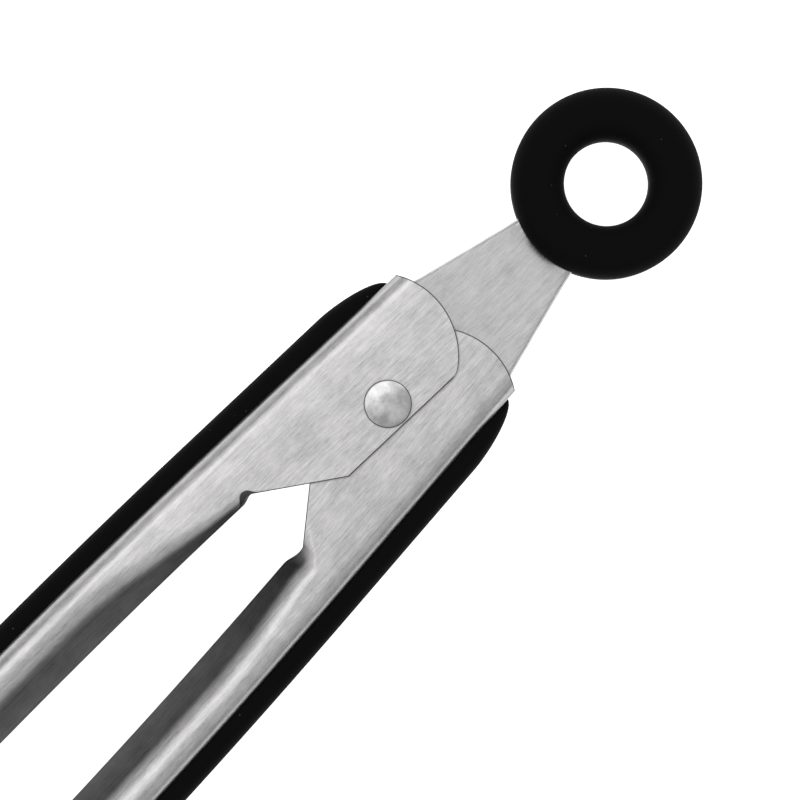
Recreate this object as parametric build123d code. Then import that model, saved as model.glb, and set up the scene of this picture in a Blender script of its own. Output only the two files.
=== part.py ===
from build123d import *
import os
from math import asin, cos, degrees, pi, radians, sin, sqrt

# Spring loaded kitchen tongs with a pull-out lock, drawn closed and locked.
# Millimetres and degrees. The rivet's axis is Z with the rivet at the origin, the hanging ring is
# toward +X, the jaws toward -X and the outer arm on the +Y side. place() then stands the whole
# part on its lowest edge, centred in X, because it lies on its side.
os.makedirs("parts", exist_ok=True)

# --- sheet steel and the stack of sheets across the hinge ---
ARM_SHEET = 0.8
TAB_SHEET = 0.8
EAR_PLAY = 0.1          # between the ears of the outer arm and those of the inner arm
TAB_PLAY = 0.9          # between the inner arm's ears and the tab's leaves
HANDLE_WIDTH = 25.0     # outer arm, across the channel
CHANNEL_DEPTH = 11.0    # from the back to the curled edges
BACK_BEND = 3.0         # outside radius where the back turns into the sides
CURL_RADIUS = 5.0       # outside radius of the roll from the side into the lip
CURL_ANGLE = 58.0       # how far the lip leans in from the side

# --- arm, seen from the side, before it is turned by CLOSED_SLOPE ---
PIVOT_TO_BACK = 15.3
CLOSED_SLOPE = 3.0
EAR_PAST_PIVOT = 4.6    # how far the ear reaches past the rivet's centre
EAR_CORNER = 13.7       # from the rivet to the corner where the ear's edge turns to slant
EAR_SLANT = (28.1, 4.8)  # end of the slanted edge: distance back from the rivet, height above it
EAR_NOTCH = 0.9         # depth of the relief between the ear and the curled edge
TAIL_RADIUS = 14.7      # rounded tail end of the ear
TAIL_CENTRE = (4.4, 7.3)
CURL_START = 32.8       # distance behind the rivet where the curled edges and the bow begin
BOW_RADIUS = 1494.0

# --- jaws ---
PIVOT_TO_TIP = 252.0
PIVOT_TO_NECK = 186.0
JAW_WIDTH = 40.0
JAW_GAP = 0.8           # left between the closed jaws
JAW_NOSE_POWER = 4      # a higher power keeps the jaw's back flatter before its nose
JAW_NOSE_REACH = 0.96
JAW_WIDEST = 0.62       # share of the way from the neck to the tip where the jaw is widest
JAW_ROUNDING = 0.5      # share over which the widest part would round down to nothing
JAW_CLOSING_POWER = 1.5  # how soon the open edges come down to meet the other jaw's
JAW_ARCH = 0.75         # corner radius of the jaw's section, as a share of its height
JAW_ARCHED = 0.4        # share of the way to the tip where that arch is reached
JAW_STATIONS = (0.2, 0.4, 0.58, 0.76, 0.9, 1.0)
SCALLOP_RADIUS = 5.0
SCALLOP_DEPTH = 2.0
SCALLOP_PITCH = 11.5
SCALLOPS = 4
SCALLOP_MIDDLE = 0.6    # share of the way from the neck to the tip

# --- rivet, washer and sleeve ---
SHANK_RADIUS = 2.1
PIN_PLAY = 0.05         # radial, rivet in the ears and in the sleeve
RIVET_HEAD_RADIUS = 4.2
RIVET_HEAD_RIM = 0.4
RIVET_HEAD_HEIGHT = 1.5
FORMED_HEAD_RADIUS = 3.5
FORMED_HEAD_RIM = 0.3
FORMED_HEAD_HEIGHT = 1.2
STACK_PLAY = 0.05       # axial, under each rivet head and at each end of the sleeve
WASHER_RADIUS = 4.4
WASHER_THICKNESS = 0.6
SLEEVE_RADIUS = 2.85

# --- spring ---
WIRE = 1.4
COIL_RADIUS = 4.6       # to the wire's centre
COIL_TURNS = 4
COIL_PITCH = 1.6
LEG_REACH = 26.0        # how far back the legs press on the arms
LEG_PLAY = 0.25         # between a leg and the back it presses on

# --- lock tab ---
TAB_TRAVEL = 14.0
SLOT_PLAY = 0.15        # each side of the sleeve
SLOT_MARGIN = 2.6       # steel left round the slot's closed end
STEM_HALF_WIDTH = 6.0
SHOULDER_HALF_WIDTH = 12.05
SHOULDER_START = 10.0
STEM_END_TO_SHOULDER = 9.0
SHOULDER_END = 18.4
TAB_TAPER = 0.25        # loss of half width for each millimetre toward the ring
LEAF_BEND = 19.0        # where the leaves turn toward each other and their edges turn down
TAB_EDGE_DEPTH = 3.0

# --- hanging ring ---
LOCK_LEAN = 1.1         # the tab hangs this far out of line on its sleeve, toward the inner arm
RING_CENTRE = 55.1
RING_RADIUS = 17.0
RING_HOLE_RADIUS = 7.55
RING_THICKNESS = 11.0
RING_CREST = 1.3        # flat between the two rounds of its upper and lower faces
RING_HOLE_LAND = 4.0    # straight part of the hole
CORE_HOLE_COVER = 2.6   # ring material between its hole and the core
CORE_RIM_COVER = 2.4    # ring material between its rim and the core
CORE_THICKNESS = 3.0
CORE_ROUND = 1.2
NOSE_WALL = 1.3         # ring material between the folded tab and the hole

# --- grips ---
GRIP_TAIL = 15.0
GRIP_END = 122.0
GRIP_HALF_WIDTH = 9.4
GRIP_THICKNESS = 3.9
GRIP_ROUND = 2.6
GRIP_TAIL_TAPER = 12.0
GRIP_END_TAPER = 26.0
GRIP_TAIL_BULGE = (0.72, 0.66)  # a place on the tail's curve: shares of its taper and its thickness
GRIP_END_BULGE = (0.7, 0.66)    # the same for the far end
PEG_RADIUS = 2.5
PEG_PLAY = 0.05
PEG_HEAD_RADIUS = 4.0
PEG_HEAD_THICKNESS = 1.2
PEG_PLACES = (-4.0, 38.0, 70.0, 102.0)  # distances behind the rivet

CUT = 1.0  # how far a cutting solid runs past what it cuts

# --- sizes that follow from those above ---
half_width = HANDLE_WIDTH / 2
ear_step = ARM_SHEET + EAR_PLAY
inner_half_width = half_width - ear_step
leaf_height = inner_half_width - ARM_SHEET - TAB_PLAY
bow_angle = degrees(asin((PIVOT_TO_NECK - CURL_START) / BOW_RADIUS))
nose_end = RING_CENTRE - RING_HOLE_RADIUS - NOSE_WALL
nose_height = CORE_THICKNESS / 2 + TAB_SHEET
core_inner_radius = RING_HOLE_RADIUS + CORE_HOLE_COVER
core_outer_radius = RING_RADIUS - CORE_RIM_COVER
ring_reach = RING_CENTRE * cos(radians(LOCK_LEAN)) + RING_RADIUS
ring_edge = RING_CENTRE - RING_RADIUS
ring_hole_round = (RING_THICKNESS - RING_HOLE_LAND) / 2
ring_outer_round = RING_RADIUS - RING_HOLE_RADIUS - RING_CREST - ring_hole_round
slot_half_width = SLEEVE_RADIUS + SLOT_PLAY
bow_centre = (-CURL_START, PIVOT_TO_BACK - BOW_RADIUS)


def place(solid, name, colour):
    """Stand the solid on the jaws' lower edge, centred along the whole length, and write it."""
    placed = Pos((PIVOT_TO_TIP - ring_reach) / 2, 0, JAW_WIDTH / 2) * solid
    placed.label = name
    placed.color = Color(colour)
    export_step(placed, f"parts/{name}.step")


def rounded_box(x_low, x_high, y_low, y_high, z_half, radius):
    """A box whose two long edges along its +Y face are rounded."""
    box = Pos((x_low + x_high) / 2, (y_low + y_high) / 2, 0)
    box = box * Box(x_high - x_low, y_high - y_low, 2 * z_half)
    edges = box.edges().filter_by(Axis.X).sort_by(Axis.Y)[-2:]
    return fillet(edges, radius)


# --------------------------------------------------------------------------- arms
def ear_outline():
    """The ear's shape seen along the rivet, in the arm's own straight frame."""
    centre_x, centre_y = TAIL_CENTRE
    back_x = centre_x + sqrt(TAIL_RADIUS**2 - (PIVOT_TO_BACK - centre_y) ** 2)
    low_x = centre_x + sqrt(TAIL_RADIUS**2 - (EAR_PAST_PIVOT + centre_y) ** 2)
    slant_x, slant_y = EAR_SLANT
    curl_y = PIVOT_TO_BACK - CHANNEL_DEPTH
    notch_y = slant_y + EAR_NOTCH
    notch_x = (slant_x * 2 + CURL_START) / 3
    start = (-CURL_START, PIVOT_TO_BACK)
    tail = (back_x, PIVOT_TO_BACK)
    lower = (low_x, -EAR_PAST_PIVOT)
    edges = [
        Line(start, tail),
        ThreePointArc(tail, (centre_x + TAIL_RADIUS, centre_y), lower),
        Polyline(
            lower,
            (-EAR_CORNER, -EAR_PAST_PIVOT),
            (-slant_x, slant_y),
            (-notch_x, notch_y),
            (-CURL_START, curl_y),
            start,
        ),
    ]
    return make_face(Curve() + edges)


def ears(z_half):
    """The two flat ears with the back between them: a deep channel trimmed to the ear's outline."""
    reach = TAIL_CENTRE[0] + TAIL_RADIUS + CUT
    low = -EAR_PAST_PIVOT - CUT
    outside = rounded_box(-CURL_START, reach, low, PIVOT_TO_BACK, z_half, BACK_BEND)
    inside = rounded_box(
        -CURL_START - CUT,
        reach + CUT,
        low - CUT,
        PIVOT_TO_BACK - ARM_SHEET,
        z_half - ARM_SHEET,
        BACK_BEND - ARM_SHEET,
    )
    outline = Pos(0, 0, -z_half) * extrude(ear_outline(), amount=2 * z_half)
    hole = Cylinder(SHANK_RADIUS + PIN_PLAY, 2 * z_half + 2 * CUT)
    return (outside - inside) & outline - hole


def channel_edge(z_half, inset):
    """Half of the handle's section, drawn inward by inset: back, bend, rolled side and leaning lip."""
    lean = radians(CURL_ANGLE)
    lip = (CHANNEL_DEPTH - BACK_BEND - CURL_RADIUS * sin(lean)) / cos(lean)
    bend = BACK_BEND - inset
    roll = CURL_RADIUS - inset
    bend_x = z_half - BACK_BEND
    roll_x = z_half - CURL_RADIUS
    half_turn = radians(45)
    start = (bend_x, -inset)
    side = (z_half - inset, -BACK_BEND)
    rolled = (roll_x + roll * cos(lean), -BACK_BEND - roll * sin(lean))
    end = (rolled[0] - lip * sin(lean), rolled[1] - lip * cos(lean))
    bend_middle = (bend_x + bend * sin(half_turn), -BACK_BEND + bend * cos(half_turn))
    roll_middle = (roll_x + roll * cos(lean / 2), -BACK_BEND - roll * sin(lean / 2))
    edges = [
        Line((0, -inset), start),
        ThreePointArc(start, bend_middle, side),
        ThreePointArc(side, roll_middle, rolled),
        Line(rolled, end),
    ]
    return edges, end


def channel_section(z_half):
    """The handle's section with its back on the X axis, open toward the other arm."""
    outer, outer_end = channel_edge(z_half, 0.0)
    inner, inner_end = channel_edge(z_half, ARM_SHEET)
    ends = [Line(outer_end, inner_end), Line((0, 0), (0, -ARM_SHEET))]
    half = make_face(Curve() + outer + inner + ends)
    return half + mirror(half, about=Plane.YZ)


def handle(z_half):
    """The bowed channel from the ears to the jaw's neck."""
    plane = Plane(origin=(-CURL_START, PIVOT_TO_BACK, 0), x_dir=(0, 0, 1), z_dir=(-1, 0, 0))
    axis = Axis((*bow_centre, 0), (0, 0, 1))
    return revolve(plane * channel_section(z_half), axis=axis, revolution_arc=bow_angle)


def neck_plane():
    """Where the handle ends: on the back, across the sheet's run, in the closed tongs' frame."""
    turn = radians(bow_angle)
    x = bow_centre[0] - BOW_RADIUS * sin(turn)
    y = bow_centre[1] + BOW_RADIUS * cos(turn)
    slope = radians(CLOSED_SLOPE)
    origin = (x * cos(slope) + y * sin(slope), y * cos(slope) - x * sin(slope), 0)
    tilt = turn - slope
    return Plane(origin=origin, x_dir=(0, 0, 1), z_dir=(-cos(tilt), -sin(tilt), 0))


def jaw_size(share, z_half):
    """Half width, open edge and back of the jaw at a share of the way from the neck to the tip."""
    neck = neck_plane().origin
    widen = min(share / JAW_WIDEST, 1.0)
    widen = widen * widen * (3 - 2 * widen)
    narrow = sqrt(1 - (max(share - JAW_WIDEST, 0.0) / JAW_ROUNDING) ** 2)
    width = (z_half + (JAW_WIDTH / 2 - z_half) * widen) * narrow
    edge = JAW_GAP / 2 + (neck.Y - CHANNEL_DEPTH) * (1 - share) ** JAW_CLOSING_POWER
    back = neck.Y * sqrt(1 - (share * JAW_NOSE_REACH) ** JAW_NOSE_POWER)
    return width, edge, back


def jaw_section(plane, width, low, high, bend):
    """A U with its two upper corners rounded, filled in."""
    bend = min(bend, width * 0.9, (high - low) * 0.9)
    edges = [
        Line((-width, low), (-width, high - bend)),
        ThreePointArc(
            (-width, high - bend),
            (-width + bend * (1 - sin(pi / 4)), high - bend * (1 - sin(pi / 4))),
            (-width + bend, high),
        ),
        Line((-width + bend, high), (width - bend, high)),
        ThreePointArc(
            (width - bend, high),
            (width - bend * (1 - sin(pi / 4)), high - bend * (1 - sin(pi / 4))),
            (width, high - bend),
        ),
        Line((width, high - bend), (width, low)),
        Line((width, low), (-width, low)),
    ]
    return plane * make_face(Curve() + edges)


def jaw_solid(z_half, wall):
    """The jaw filled in, drawn inward by wall: zero for its outside, the sheet for its hollow."""
    neck = neck_plane()
    drop = CUT if wall else 0.0
    sections = [
        jaw_section(neck, z_half - wall, -CHANNEL_DEPTH - drop, -wall, BACK_BEND - wall)
    ]
    for share in JAW_STATIONS:
        width, edge, back = jaw_size(share, z_half)
        x = neck.origin.X - (PIVOT_TO_TIP + neck.origin.X) * share
        if wall and share == 1.0:
            x += wall
        arch = JAW_ARCH * (back - edge)
        bend = BACK_BEND + (arch - BACK_BEND) * min(share / JAW_ARCHED, 1.0)
        plane = Plane(origin=(x, 0, 0), x_dir=(0, 0, 1), z_dir=(-1, 0, 0))
        sections.append(
            jaw_section(plane, width - wall, edge - drop, back - wall, bend - wall)
        )
    return loft(sections)


def jaw(z_half):
    """The scalloped scoop at the arm's end, pressed in one piece with it."""
    scoop = jaw_solid(z_half, 0.0) - jaw_solid(z_half, ARM_SHEET)
    middle = PIVOT_TO_NECK + SCALLOP_MIDDLE * (PIVOT_TO_TIP - PIVOT_TO_NECK)
    for number in range(SCALLOPS):
        x = -middle + (number - (SCALLOPS - 1) / 2) * SCALLOP_PITCH
        share = (-x - PIVOT_TO_NECK) / (PIVOT_TO_TIP - PIVOT_TO_NECK)
        edge = jaw_size(share, z_half)[1]
        bite = Cylinder(SCALLOP_RADIUS, JAW_WIDTH + 2 * CUT)
        scoop = scoop - Pos(x, edge + SCALLOP_DEPTH - SCALLOP_RADIUS, 0) * bite
    return scoop


def on_back(distance):
    """A place on the back's outside at a distance behind the rivet, with Z along the outward normal."""
    if distance < CURL_START:
        return Plane(origin=(-distance, PIVOT_TO_BACK, 0), z_dir=(0, 1, 0))
    turn = asin((distance - CURL_START) / BOW_RADIUS)
    x = bow_centre[0] - BOW_RADIUS * sin(turn)
    y = bow_centre[1] + BOW_RADIUS * cos(turn)
    return Plane(origin=(x, y, 0), z_dir=(-sin(turn), cos(turn), 0))


def arm(z_half):
    """One pressed arm on the +Y side: ears, handle and jaw in one sheet, with the grip's peg holes."""
    body = ears(z_half) + handle(z_half)
    for distance in PEG_PLACES:
        hole = Cylinder(PEG_RADIUS, 2 * BACK_BEND)
        body = body - on_back(distance) * hole
    return Rot(0, 0, -CLOSED_SLOPE) * body + jaw(z_half)


# --------------------------------------------------------------------------- grips
def grip_side():
    """The grip seen from the side, from where it starts flush at the tail to where it dies out."""
    turn_end = asin((GRIP_END - CURL_START) / BOW_RADIUS)
    turn_full = asin((GRIP_END - GRIP_END_TAPER - CURL_START) / BOW_RADIUS)

    def on_bow(turn, height):
        radius = BOW_RADIUS + height
        return (bow_centre[0] - radius * sin(turn), bow_centre[1] + radius * cos(turn))

    top = PIVOT_TO_BACK + GRIP_THICKNESS
    tail = (GRIP_TAIL, PIVOT_TO_BACK)
    full = (GRIP_TAIL - GRIP_TAIL_TAPER, top)
    bow_top = (-CURL_START, top)
    tail_share, tail_height = GRIP_TAIL_BULGE
    end_share, end_height = GRIP_END_BULGE
    tail_x = full[0] + GRIP_TAIL_TAPER * tail_share
    tail_round = (tail_x, PIVOT_TO_BACK + GRIP_THICKNESS * tail_height)
    near_end = turn_full + (turn_end - turn_full) * end_share
    edges = [
        Line((-CURL_START, PIVOT_TO_BACK), tail),
        ThreePointArc(tail, tail_round, full),
        Line(full, bow_top),
        ThreePointArc(bow_top, on_bow(turn_full / 2, GRIP_THICKNESS), on_bow(turn_full, GRIP_THICKNESS)),
        ThreePointArc(
            on_bow(turn_full, GRIP_THICKNESS),
            on_bow(near_end, GRIP_THICKNESS * end_height),
            on_bow(turn_end, 0),
        ),
        ThreePointArc(on_bow(turn_end, 0), on_bow(turn_end / 2, 0), (-CURL_START, PIVOT_TO_BACK)),
    ]
    return make_face(Curve() + edges)


def grip():
    """A soft cushion on the arm's back, held by pegs through the back with heads inside the channel."""
    section = Rectangle(2 * GRIP_HALF_WIDTH, GRIP_THICKNESS)
    section = fillet(section.vertices().sort_by(Axis.Y)[-2:], GRIP_ROUND)
    middle = PIVOT_TO_BACK + GRIP_THICKNESS / 2
    plane = Plane(origin=(-CURL_START, middle, 0), x_dir=(0, 0, 1), z_dir=(-1, 0, 0))
    axis = Axis((*bow_centre, 0), (0, 0, 1))
    arc = degrees(asin((GRIP_END - CURL_START) / BOW_RADIUS))
    loaf = revolve(plane * section, axis=axis, revolution_arc=arc)
    loaf = loaf + extrude(plane * section, amount=-(GRIP_TAIL + CURL_START))
    side = Pos(0, 0, -GRIP_HALF_WIDTH) * extrude(grip_side(), amount=2 * GRIP_HALF_WIDTH)
    cushion = loaf & side
    stem = ARM_SHEET + PEG_HEAD_THICKNESS
    for distance in PEG_PLACES:
        peg = Pos(0, 0, -stem / 2) * Cylinder(PEG_RADIUS - PEG_PLAY, stem)
        head_height = -ARM_SHEET - PEG_HEAD_THICKNESS / 2 - PEG_PLAY
        head = Pos(0, 0, head_height) * Cylinder(PEG_HEAD_RADIUS, PEG_HEAD_THICKNESS)
        cushion = cushion + on_back(distance) * (peg + head)
    return Rot(0, 0, -CLOSED_SLOPE) * cushion


# --------------------------------------------------------------------------- hinge
def dome(radius, rim, top):
    """A flat-bottomed round head: a short rim and a domed top, standing on Z zero."""
    rise = top - rim
    dome_radius = (radius**2 + rise**2) / (2 * rise)
    ball = Pos(0, 0, top - dome_radius) * Sphere(dome_radius)
    blank = Cylinder(radius, top, align=(Align.CENTER, Align.CENTER, Align.MIN))
    return blank & ball


def pivot_rivet():
    """Domed head on the near side, shank through every ear, and a head formed over the washer."""
    seat = half_width + STACK_PLAY
    far_seat = -half_width - 2 * STACK_PLAY - WASHER_THICKNESS
    shank = Pos(0, 0, (seat + far_seat) / 2) * Cylinder(SHANK_RADIUS, seat - far_seat)
    head = Pos(0, 0, seat) * dome(RIVET_HEAD_RADIUS, RIVET_HEAD_RIM, RIVET_HEAD_HEIGHT)
    formed = dome(FORMED_HEAD_RADIUS, FORMED_HEAD_RIM, FORMED_HEAD_HEIGHT)
    return head + shank + Pos(0, 0, far_seat) * Rot(180, 0, 0) * formed


def rivet_washer():
    """Flat washer that the formed head bears on."""
    ring = Cylinder(WASHER_RADIUS, WASHER_THICKNESS)
    ring = ring - Cylinder(SHANK_RADIUS + PIN_PLAY, WASHER_THICKNESS + CUT)
    return Pos(0, 0, -half_width - STACK_PLAY - WASHER_THICKNESS / 2) * ring


def pivot_sleeve():
    """Spacer tube that keeps the ears apart; the tab's slots slide on it."""
    length = 2 * (inner_half_width - ARM_SHEET - STACK_PLAY)
    return Cylinder(SLEEVE_RADIUS, length) - Cylinder(SHANK_RADIUS + PIN_PLAY, length + CUT)


def torsion_spring():
    """Close-wound coil on the sleeve with two straight legs that press on the arms' backs."""
    height = COIL_TURNS * COIL_PITCH
    slope = radians(CLOSED_SLOPE)
    back = (PIVOT_TO_BACK - ARM_SHEET) / cos(slope) + LEG_REACH * sin(slope) / cos(slope)
    end_y = back - WIRE / 2 - LEG_PLAY
    far = sqrt(LEG_REACH**2 + end_y**2)
    lift = degrees(asin(end_y / far))
    off = degrees(asin(COIL_RADIUS / far))
    leave = 90 - (lift - off)  # where the tangent to the end point leaves the coil
    turn = 360 * COIL_TURNS + 2 * leave
    pitch = height * 360 / turn
    coil = Rot(0, 0, -leave) * Pos(0, 0, -height / 2) * Helix(pitch, height, COIL_RADIUS)
    run = sqrt(far**2 - COIL_RADIUS**2)
    first = Line(coil @ 0, (coil @ 0) - (coil % 0) * run)
    last = Line(coil @ 1, (coil @ 1) + (coil % 1) * run)
    path = Wire([first.edge(), coil.edge(), last.edge()])
    start = Plane(origin=path @ 0, z_dir=path % 0)
    return sweep(start * Circle(WIRE / 2), path=path, is_frenet=True)


# --------------------------------------------------------------------------- lock
def tab_half_width(x):
    return SHOULDER_HALF_WIDTH - TAB_TAPER * (x - SHOULDER_END)


def tab_plan(inset):
    """The tab seen along the rivet, drawn inward by inset: stem, shoulders and taper to its nose."""
    stem_end = -slot_half_width - SLOT_MARGIN + inset
    half = [
        (stem_end, STEM_HALF_WIDTH - inset),
        (SHOULDER_START - STEM_END_TO_SHOULDER, STEM_HALF_WIDTH - inset),
        (SHOULDER_START, SHOULDER_HALF_WIDTH - inset),
        (SHOULDER_END, SHOULDER_HALF_WIDTH - inset),
        (nose_end - inset, tab_half_width(nose_end) - inset),
    ]
    other = [(x, -y) for x, y in reversed(half)]
    return make_face(Polyline(*half, *other, close=True))


def tab_side(inset, reach=0.0):
    """The space between the leaves seen from the side, drawn inward by inset."""
    high = leaf_height - inset
    low = nose_height - inset
    stem_end = -slot_half_width - SLOT_MARGIN - CUT - reach
    nose = nose_end - min(inset, TAB_SHEET)
    low = max(low, TAB_SHEET)
    points = [(stem_end, high), (LEAF_BEND, high), (ring_edge, low), (nose, low)]
    other = [(x, -z) for x, z in reversed(points)]
    return Plane.XZ * make_face(Polyline(*points, *other, close=True))


def tab_solid(inset):
    """The tab filled in: its plan cut by its side shape, with its long edges rounded."""
    plan = Pos(0, 0, -leaf_height) * extrude(tab_plan(inset), amount=2 * leaf_height)
    side = extrude(tab_side(inset, CUT), amount=2 * SHOULDER_HALF_WIDTH, both=True)
    return plan & side


def lock_tab():
    """One strip folded into two leaves with turned-down edges, slotted for the sleeve."""
    hollow = tab_solid(TAB_SHEET)
    between = extrude(tab_side(TAB_SHEET, CUT), amount=2 * SHOULDER_HALF_WIDTH, both=True)
    turned_down = tab_side(TAB_EDGE_DEPTH, CUT)
    turned_down = extrude(turned_down, amount=2 * SHOULDER_HALF_WIDTH, both=True)
    edged = Pos((LEAF_BEND + ring_edge) / 2, 0, 0)
    edged = edged * Box(ring_edge - LEAF_BEND, 4 * SHOULDER_HALF_WIDTH, HANDLE_WIDTH)
    leaves = tab_solid(0.0) - hollow - (between - edged) - turned_down
    slot = SlotCenterToCenter(TAB_TRAVEL, 2 * slot_half_width)
    cutter = Pos(TAB_TRAVEL / 2, 0, -half_width) * extrude(slot, amount=HANDLE_WIDTH)
    return leaves - cutter


def ring_core():
    """Stiff ring inside the soft one; the tab is folded round it and lies in its notch."""
    section = Rectangle(core_outer_radius - core_inner_radius, CORE_THICKNESS)
    section = fillet(section.vertices(), CORE_ROUND)
    middle = (core_outer_radius + core_inner_radius) / 2
    ring = revolve(Plane.XZ * Pos(middle, 0) * section, axis=Axis.Z)
    return Pos(RING_CENTRE, 0, 0) * ring


def hang_ring():
    """Soft ring moulded over the core and the tab's nose, with a straight land in its hole."""
    section = Rectangle(RING_RADIUS - RING_HOLE_RADIUS, RING_THICKNESS)
    section = fillet(section.vertices().sort_by(Axis.X)[:2], ring_hole_round)
    section = fillet(section.vertices().sort_by(Axis.X)[-2:], ring_outer_round)
    middle = (RING_RADIUS + RING_HOLE_RADIUS) / 2
    ring = revolve(Plane.XZ * Pos(middle, 0) * section, axis=Axis.Z)
    return Pos(RING_CENTRE, 0, 0) * ring


outer_arm = arm(half_width)
inner_arm = mirror(arm(inner_half_width), about=Plane.XZ)
outer_grip = grip()
inner_grip = mirror(grip(), about=Plane.XZ)
straight_tab = lock_tab()
straight_core = ring_core() - straight_tab
lean = Rot(0, 0, -LOCK_LEAN)
tab = lean * straight_tab
core = lean * straight_core
ring = lean * (hang_ring() - straight_tab - straight_core)

STEEL, DARK, NYLON = 0xC8C8CC, 0x161616, 0x30343A
place(outer_arm, "outer_arm", STEEL)
place(inner_arm, "inner_arm", STEEL)
place(outer_grip, "outer_grip", DARK)
place(inner_grip, "inner_grip", DARK)
place(pivot_rivet(), "pivot_rivet", STEEL)
place(rivet_washer(), "rivet_washer", STEEL)
place(pivot_sleeve(), "pivot_sleeve", STEEL)
place(torsion_spring(), "torsion_spring", STEEL)
place(tab, "lock_tab", STEEL)
place(core, "ring_core", NYLON)
place(ring, "hang_ring", DARK)
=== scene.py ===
import math

import bpy
import numpy as np
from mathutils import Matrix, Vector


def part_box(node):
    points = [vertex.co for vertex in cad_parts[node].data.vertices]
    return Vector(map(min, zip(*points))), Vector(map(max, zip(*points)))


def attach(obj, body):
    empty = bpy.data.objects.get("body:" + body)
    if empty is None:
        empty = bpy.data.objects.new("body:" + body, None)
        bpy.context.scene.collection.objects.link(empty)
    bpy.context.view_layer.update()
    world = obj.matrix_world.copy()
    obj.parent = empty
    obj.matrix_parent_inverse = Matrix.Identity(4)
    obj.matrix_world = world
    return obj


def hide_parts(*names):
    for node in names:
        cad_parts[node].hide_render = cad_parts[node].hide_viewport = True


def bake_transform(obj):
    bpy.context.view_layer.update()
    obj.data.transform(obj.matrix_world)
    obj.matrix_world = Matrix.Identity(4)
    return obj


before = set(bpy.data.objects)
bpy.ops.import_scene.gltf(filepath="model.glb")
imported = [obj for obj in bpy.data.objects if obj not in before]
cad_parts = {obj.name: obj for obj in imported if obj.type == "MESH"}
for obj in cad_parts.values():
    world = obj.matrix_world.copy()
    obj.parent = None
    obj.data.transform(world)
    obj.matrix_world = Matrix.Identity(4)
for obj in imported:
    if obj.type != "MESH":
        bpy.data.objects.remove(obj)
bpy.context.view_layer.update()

# ------------------------------------------------------------------ arms
# Each arm is one pressing of 0.8 mm stainless sheet: flat ears at the hinge, a channel whose sides
# roll in to leaning lips, and a scalloped scoop. The strip was linished along its length before it
# was pressed, so every scratch runs from tail to tip.
MM = 0.001
sleeve_low, sleeve_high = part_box("pivot_sleeve")
HINGE = np.array((sleeve_low + sleeve_high) / 2)  # middle of the rivet, in metres

SHEET = 0.8
OUTER_HALF_WIDTH = 12.5
INNER_HALF_WIDTH = 11.6
BACK = 15.5  # from the rivet's centre to the back
SLOPE = math.radians(3.0)  # the closed handle's, against the middle of the tongs
BEND = 3.0
CROWN = 0.18  # the ears and sides sink this much toward the bend
ROLL = 5.0
LEAN_IN = math.radians(58.0)
LIP = 3.8  # how far the lip reaches inward
DEPTH = 11.0
EAR_PAST = 4.6
EAR_ROUND = 0.9
TAIL_ZONE = -2.0
STRAIGHT = 32.8
BOW = 1494.0
NECK, TIP = 186.0, 252.0
JAW_HALF_WIDTH = 20.0
JAW_EDGE = 0.45
SCALLOP_PITCH = 11.0
SHANK_HOLE = 2.15
EASED = 0.17
EDGE_BAND = 0.2  # the width of the strip along each cut edge that is painted dark, as painted shade
SHARP = math.radians(38)  # an edge that turns more than this isn't shaded smooth


def smooth(value, low, high):
    """Rises from 0 at low to 1 at high along t squared times (3 minus 2t)."""
    t = np.clip((value - low) / (high - low), 0, 1)
    return t * t * (3 - 2 * t)


def grid_piece(name, grid, maps=(), flip=False, wrap=(False, False), caps=False):
    """A mesh from rows and columns of points in millimetres about the rivet, joined by quads. maps holds
    pairs of a UV map's name and its values, also in millimetres. wrap closes the rows or the columns
    on themselves, and caps closes the first and last row."""
    rows, columns = grid.shape[:2]
    index = np.arange(rows * columns).reshape(rows, columns)
    if wrap[0]:
        index = np.vstack([index, index[:1]])
    if wrap[1]:
        index = np.hstack([index, index[:, :1]])
    quads = np.stack([index[:-1, :-1], index[1:, :-1], index[1:, 1:], index[:-1, 1:]], axis=-1)
    faces = quads.reshape(-1, 4)
    if flip:
        faces = faces[:, ::-1]
    faces = faces.tolist()
    if caps:
        ends = [index[0, :columns].tolist(), index[-1, :columns][::-1].tolist()]
        faces += [end[::-1] for end in ends] if flip else ends
    mesh = bpy.data.meshes.new(name)
    mesh.from_pydata((grid.reshape(-1, 3) * MM + HINGE).tolist(), [], faces)
    for layer, values in maps:
        corners = np.zeros(len(mesh.loops), int)
        mesh.loops.foreach_get("vertex_index", corners)
        mesh.uv_layers.new(name=layer).data.foreach_set("uv", (values.reshape(-1, 2)[corners] * MM).ravel())
    mesh.shade_smooth()
    made = bpy.data.objects.new(name, mesh)
    bpy.context.scene.collection.objects.link(made)
    return made


def modify(piece, kind, **settings):
    """Adds one modifier and turns the result into plain mesh."""
    step = piece.modifiers.new(kind, kind)
    for key, value in settings.items():
        setattr(step, key, value)
    graph = bpy.context.evaluated_depsgraph_get()
    plain = bpy.data.meshes.new_from_object(piece.evaluated_get(graph))
    piece.modifiers.clear()
    piece.data = plain


def thicken(piece, thickness):
    """Gives a sheet its thickness, inward from the outside face."""
    modify(piece, "SOLIDIFY", thickness=thickness * MM, offset=-1.0, use_even_offset=True)
    piece.data.set_sharp_from_angle(angle=SHARP)


def ease(piece):
    """Rounds the cut edges a little, in the piece's second material, whose dark colour is painted shade."""
    limit = math.radians(50)
    modify(piece, "BEVEL", width=EASED * MM, segments=2, limit_method="ANGLE", angle_limit=limit, material=1)
    piece.data.set_sharp_from_angle(angle=SHARP)


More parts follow.
